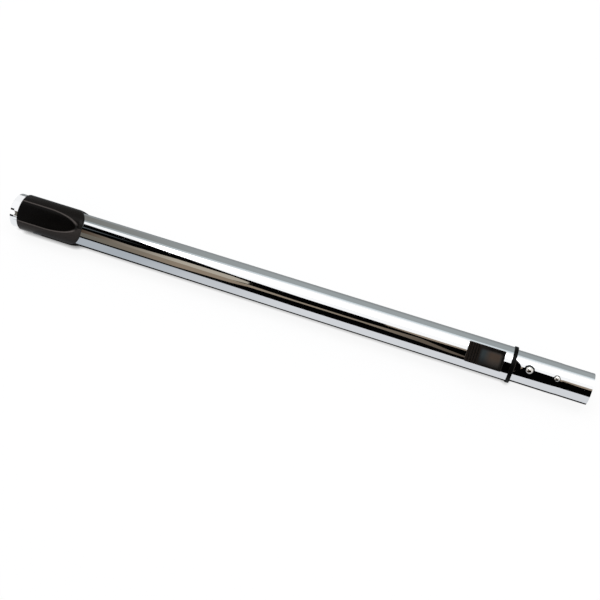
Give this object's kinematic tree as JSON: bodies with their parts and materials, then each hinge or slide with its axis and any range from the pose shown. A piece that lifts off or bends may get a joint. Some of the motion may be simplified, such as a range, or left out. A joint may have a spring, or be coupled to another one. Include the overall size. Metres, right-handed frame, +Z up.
{
  "type": "telescopic vacuum wand",
  "caption": "Closed telescopic vacuum cleaner wand: two chromed tubes with a thumb slider lock, snap button spigot and black grip sleeve.",
  "frame": {"origin": "centre of the socket's mouth, on the wand's axis", "axes": "+X along the wand towards the spigot, +Z up; the slider faces up and to the front, along (0, -0.6, 0.8)"},
  "size_m": [0.627, 0.041, 0.0434],
  "materials": {
    "chrome_tube": "mirror chrome plate on drawn steel tube",
    "bright_steel": "polished nickel-plated steel",
    "spring_steel": "bright spring steel",
    "black_sleeve": "moulded black plastic, satin gloss",
    "black_slider": "moulded black plastic, glossy thumb face",
    "black_bush": "moulded black acetal"
  },
  "bodies": {
    "outer": {"outer_tube": "chrome_tube", "grip_sleeve": "black_sleeve", "end_bush": "black_bush", "lock_carrier": "black_bush", "slider_spring_left": "spring_steel", "slider_spring_right": "spring_steel"},
    "inner": {"inner_tube": "chrome_tube", "guide_ring": "black_bush", "leaf_rivet": "bright_steel", "button_leaf": "spring_steel"},
    "slider": {"thumb_slider": "black_slider"},
    "roller": {"lock_roller": "bright_steel"},
    "button": {"snap_button": "bright_steel"}
  },
  "joints": [
    {"name": "telescope", "type": "slide", "parent": "outer", "child": "inner", "axis": [1, 0, 0], "range_m": [0, 0.396]},
    {"name": "slider_push", "type": "slide", "parent": "outer", "child": "slider", "axis": [1, 0, 0], "range_m": [0, 0.004], "stiffness_N_per_m": 1000, "springref_m": -0.002, "deforming": ["slider_spring_left", "slider_spring_right"]},
    {"name": "roller_lift", "type": "slide", "parent": "outer", "child": "roller", "axis": [0, -0.6, 0.8], "range_m": [0, 0.0011]},
    {"name": "button_press", "type": "slide", "parent": "inner", "child": "button", "axis": [0, 0.6, -0.8], "range_m": [0, 0.0035], "stiffness_N_per_m": 1200, "springref_m": -0.001, "deforming": ["button_leaf"]}
  ],
  "couplings": [
    {"joint": "roller_lift", "follows": "slider_push", "ratio": 0.275}
  ]
}
